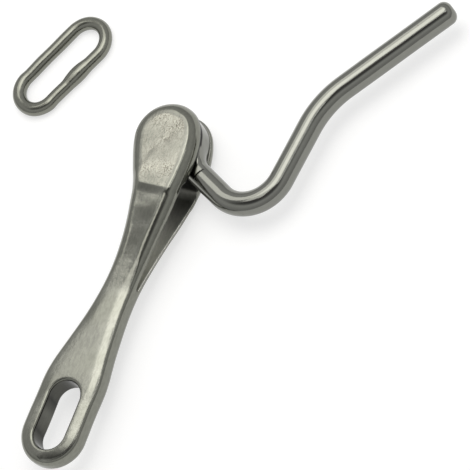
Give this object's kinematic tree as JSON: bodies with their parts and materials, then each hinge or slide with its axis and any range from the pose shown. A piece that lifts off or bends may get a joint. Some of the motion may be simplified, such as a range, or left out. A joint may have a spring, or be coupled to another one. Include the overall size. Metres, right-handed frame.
{
  "type": "pelican hook",
  "caption": "Open pelican hook: forked body with a long eye, bent round tongue hinged between its cheeks, and a loose oblong link that holds the tongue shut",
  "frame": {"origin": "on the pivot pin's axis, at the flat pad that the body rests on", "axes": "+Z along the pin, up from the resting pad; -Y from the pin to the body's long eye; +X to the side on which the tongue stands open"},
  "size_m": [0.1907, 0.2237, 0.022],
  "materials": {
    "cast_body": "polished stainless casting, ground pads with fine pits",
    "tongue_bar": "polished stainless bar",
    "pin_steel": "ground flush and polished with the pads",
    "link_wire": "tumbled stainless wire with a butt weld"
  },
  "bodies": {
    "body": {"yoke": "cast_body", "pivot_pin": "pin_steel", "link": "link_wire"},
    "tongue": {"hook": "tongue_bar"}
  },
  "joints": [
    {"name": "tongue_swing", "type": "hinge", "parent": "body", "child": "tongue", "pos_m": [0, 0, 0.011], "axis": [0, 0, 1], "range_deg": [-5, 221.5]}
  ]
}
